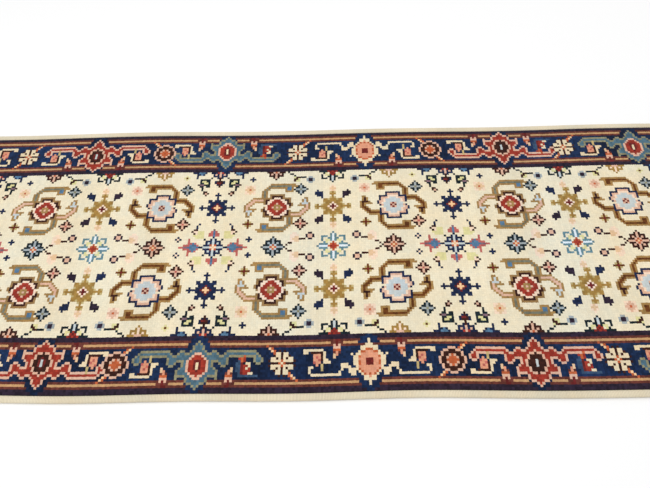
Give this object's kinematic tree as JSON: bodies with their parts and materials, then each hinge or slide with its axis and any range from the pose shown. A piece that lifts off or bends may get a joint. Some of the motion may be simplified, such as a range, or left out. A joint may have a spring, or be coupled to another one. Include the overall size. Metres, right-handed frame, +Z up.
{
  "type": "runner rug",
  "caption": "Long narrow hand-knotted pile runner lying flat, with a patterned field, borders, overcast long edges and fringed ends.",
  "frame": {"origin": "middle of the rug's box at floor level", "axes": "+X along the rug, +Y across it, +Z up from the floor through the pile"},
  "size_m": [2.5868, 0.762, 0.0098],
  "materials": {
    "foundation_cotton": "plain-woven natural cotton with the backs of the knots showing",
    "field_wool": "knotted wool pile, ivory ground with medallions in navy, brick, blue, olive and brown",
    "border_wool": "knotted wool pile, navy ground with palmettes and flowers",
    "guard_wool": "knotted wool pile in plum, red-brown and peach lines",
    "edge_wool": "cream wool wound round the edge cords, ribbed",
    "warp_cotton": "plied undyed cotton",
    "web_cotton": "weft-faced flat weave in undyed yarn",
    "chain_cotton": "twined yarn",
    "fringe_cotton": "knotted tassels of twisted cotton"
  },
  "bodies": {
    "root": {"foundation_weave": "foundation_cotton", "field_pile": "field_wool", "inner_guard_pile": "guard_wool", "main_border_pile": "border_wool", "outer_guard_pile": "guard_wool", "edge_overcast_near": "edge_wool", "edge_overcast_far": "edge_wool", "edge_cord_near_1": "warp_cotton", "edge_cord_near_2": "warp_cotton", "edge_cord_near_3": "warp_cotton", "edge_cord_far_1": "warp_cotton", "edge_cord_far_2": "warp_cotton", "edge_cord_far_3": "warp_cotton", "end_web_left": "web_cotton", "end_web_right": "web_cotton", "end_chain_left": "chain_cotton", "end_chain_right": "chain_cotton", "fringe_left": "fringe_cotton", "fringe_right": "fringe_cotton"}
  },
  "joints": []
}
